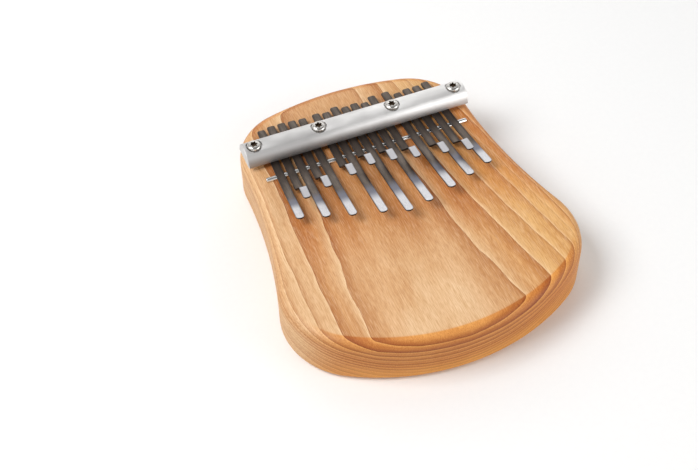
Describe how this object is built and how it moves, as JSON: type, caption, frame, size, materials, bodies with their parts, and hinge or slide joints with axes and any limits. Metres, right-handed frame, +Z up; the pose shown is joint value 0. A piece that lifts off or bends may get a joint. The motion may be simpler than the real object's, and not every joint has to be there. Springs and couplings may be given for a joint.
{
  "type": "mbira",
  "caption": "Board mbira: pear-shaped wooden board, spring-steel tines of two lengths under a half-round metal pressure bar with screws, over a round rod bridge.",
  "frame": {"origin": "middle of the board's outline, on its underside, where it rests on a table", "axes": "+Z up out of the board's face, +Y along the board towards the narrow head, -Y towards the player and the tine tips, +X along the bar to the player's right"},
  "size_m": [0.144, 0.167, 0.0356],
  "materials": {
    "board_wood": "oiled flat-sawn hardwood with growth-ring figure, satin",
    "bar_aluminium": "satin, brushed along its length",
    "screw_steel": "turned steel, six-lobed socket",
    "rod_steel": "drawn bright rod",
    "tine_steel": "dark tempered spring steel, polished bright at the playing tips"
  },
  "bodies": {
    "base": {"board": "board_wood", "pressure_bar": "bar_aluminium", "bar_screws": "screw_steel", "front_rod": "rod_steel", "rear_rod": "rod_steel", "tine_01_root": "tine_steel", "tine_02_root": "tine_steel", "tine_03_root": "tine_steel", "tine_04_root": "tine_steel", "tine_05_root": "tine_steel", "tine_06_root": "tine_steel", "tine_07_root": "tine_steel", "tine_08_root": "tine_steel", "tine_09_root": "tine_steel", "tine_10_root": "tine_steel", "tine_11_root": "tine_steel", "tine_12_root": "tine_steel", "tine_13_root": "tine_steel", "tine_14_root": "tine_steel", "tine_15_root": "tine_steel", "tine_16_root": "tine_steel", "tine_17_root": "tine_steel"},
    "tine_01": {"tine_01_blade": "tine_steel"},
    "tine_02": {"tine_02_blade": "tine_steel"},
    "tine_03": {"tine_03_blade": "tine_steel"},
    "tine_04": {"tine_04_blade": "tine_steel"},
    "tine_05": {"tine_05_blade": "tine_steel"},
    "tine_06": {"tine_06_blade": "tine_steel"},
    "tine_07": {"tine_07_blade": "tine_steel"},
    "tine_08": {"tine_08_blade": "tine_steel"},
    "tine_09": {"tine_09_blade": "tine_steel"},
    "tine_10": {"tine_10_blade": "tine_steel"},
    "tine_11": {"tine_11_blade": "tine_steel"},
    "tine_12": {"tine_12_blade": "tine_steel"},
    "tine_13": {"tine_13_blade": "tine_steel"},
    "tine_14": {"tine_14_blade": "tine_steel"},
    "tine_15": {"tine_15_blade": "tine_steel"},
    "tine_16": {"tine_16_blade": "tine_steel"},
    "tine_17": {"tine_17_blade": "tine_steel"}
  },
  "joints": [
    {"name": "tine_01_flex", "type": "hinge", "parent": "base", "child": "tine_01", "pos_m": [-0.04565, 0.0348, 0.0254], "axis": [1, 0, 0], "range_deg": [-1.5, 3], "stiffness_Nm_per_rad": 3.1},
    {"name": "tine_02_flex", "type": "hinge", "parent": "base", "child": "tine_02", "pos_m": [-0.0401, 0.0348, 0.0254], "axis": [1, 0, 0], "range_deg": [-1.5, 4], "stiffness_Nm_per_rad": 3.9},
    {"name": "tine_03_flex", "type": "hinge", "parent": "base", "child": "tine_03", "pos_m": [-0.03455, 0.0348, 0.0254], "axis": [1, 0, 0], "range_deg": [-1.5, 3], "stiffness_Nm_per_rad": 2.8},
    {"name": "tine_04_flex", "type": "hinge", "parent": "base", "child": "tine_04", "pos_m": [-0.029, 0.0348, 0.0254], "axis": [1, 0, 0], "range_deg": [-1.5, 4], "stiffness_Nm_per_rad": 4.4},
    {"name": "tine_05_flex", "type": "hinge", "parent": "base", "child": "tine_05", "pos_m": [-0.02345, 0.0348, 0.0254], "axis": [1, 0, 0], "range_deg": [-1.5, 3], "stiffness_Nm_per_rad": 2.5},
    {"name": "tine_06_flex", "type": "hinge", "parent": "base", "child": "tine_06", "pos_m": [-0.01575, 0.0348, 0.0254], "axis": [1, 0, 0], "range_deg": [-1.5, 4], "stiffness_Nm_per_rad": 4.9},
    {"name": "tine_07_flex", "type": "hinge", "parent": "base", "child": "tine_07", "pos_m": [-0.0105, 0.0348, 0.0254], "axis": [1, 0, 0], "range_deg": [-1.5, 3], "stiffness_Nm_per_rad": 2.3},
    {"name": "tine_08_flex", "type": "hinge", "parent": "base", "child": "tine_08", "pos_m": [-0.00525, 0.0348, 0.0254], "axis": [1, 0, 0], "range_deg": [-1.5, 4], "stiffness_Nm_per_rad": 5.6},
    {"name": "tine_09_flex", "type": "hinge", "parent": "base", "child": "tine_09", "pos_m": [0, 0.0348, 0.0254], "axis": [1, 0, 0], "range_deg": [-1.5, 3], "stiffness_Nm_per_rad": 2.1},
    {"name": "tine_10_flex", "type": "hinge", "parent": "base", "child": "tine_10", "pos_m": [0.00525, 0.0348, 0.0254], "axis": [1, 0, 0], "range_deg": [-1.5, 4], "stiffness_Nm_per_rad": 5.2},
    {"name": "tine_11_flex", "type": "hinge", "parent": "base", "child": "tine_11", "pos_m": [0.0105, 0.0348, 0.0254], "axis": [1, 0, 0], "range_deg": [-1.5, 3], "stiffness_Nm_per_rad": 2.2},
    {"name": "tine_12_flex", "type": "hinge", "parent": "base", "child": "tine_12", "pos_m": [0.01575, 0.0348, 0.0254], "axis": [1, 0, 0], "range_deg": [-1.5, 4], "stiffness_Nm_per_rad": 4.6},
    {"name": "tine_13_flex", "type": "hinge", "parent": "base", "child": "tine_13", "pos_m": [0.02345, 0.0348, 0.0254], "axis": [1, 0, 0], "range_deg": [-1.5, 3], "stiffness_Nm_per_rad": 2.4},
    {"name": "tine_14_flex", "type": "hinge", "parent": "base", "child": "tine_14", "pos_m": [0.029, 0.0348, 0.0254], "axis": [1, 0, 0], "range_deg": [-1.5, 4], "stiffness_Nm_per_rad": 4.1},
    {"name": "tine_15_flex", "type": "hinge", "parent": "base", "child": "tine_15", "pos_m": [0.03455, 0.0348, 0.0254], "axis": [1, 0, 0], "range_deg": [-1.5, 3], "stiffness_Nm_per_rad": 2.6},
    {"name": "tine_16_flex", "type": "hinge", "parent": "base", "child": "tine_16", "pos_m": [0.0401, 0.0348, 0.0254], "axis": [1, 0, 0], "range_deg": [-1.5, 4], "stiffness_Nm_per_rad": 3.7},
    {"name": "tine_17_flex", "type": "hinge", "parent": "base", "child": "tine_17", "pos_m": [0.04565, 0.0348, 0.0254], "axis": [1, 0, 0], "range_deg": [-1.5, 3], "stiffness_Nm_per_rad": 2.9}
  ]
}
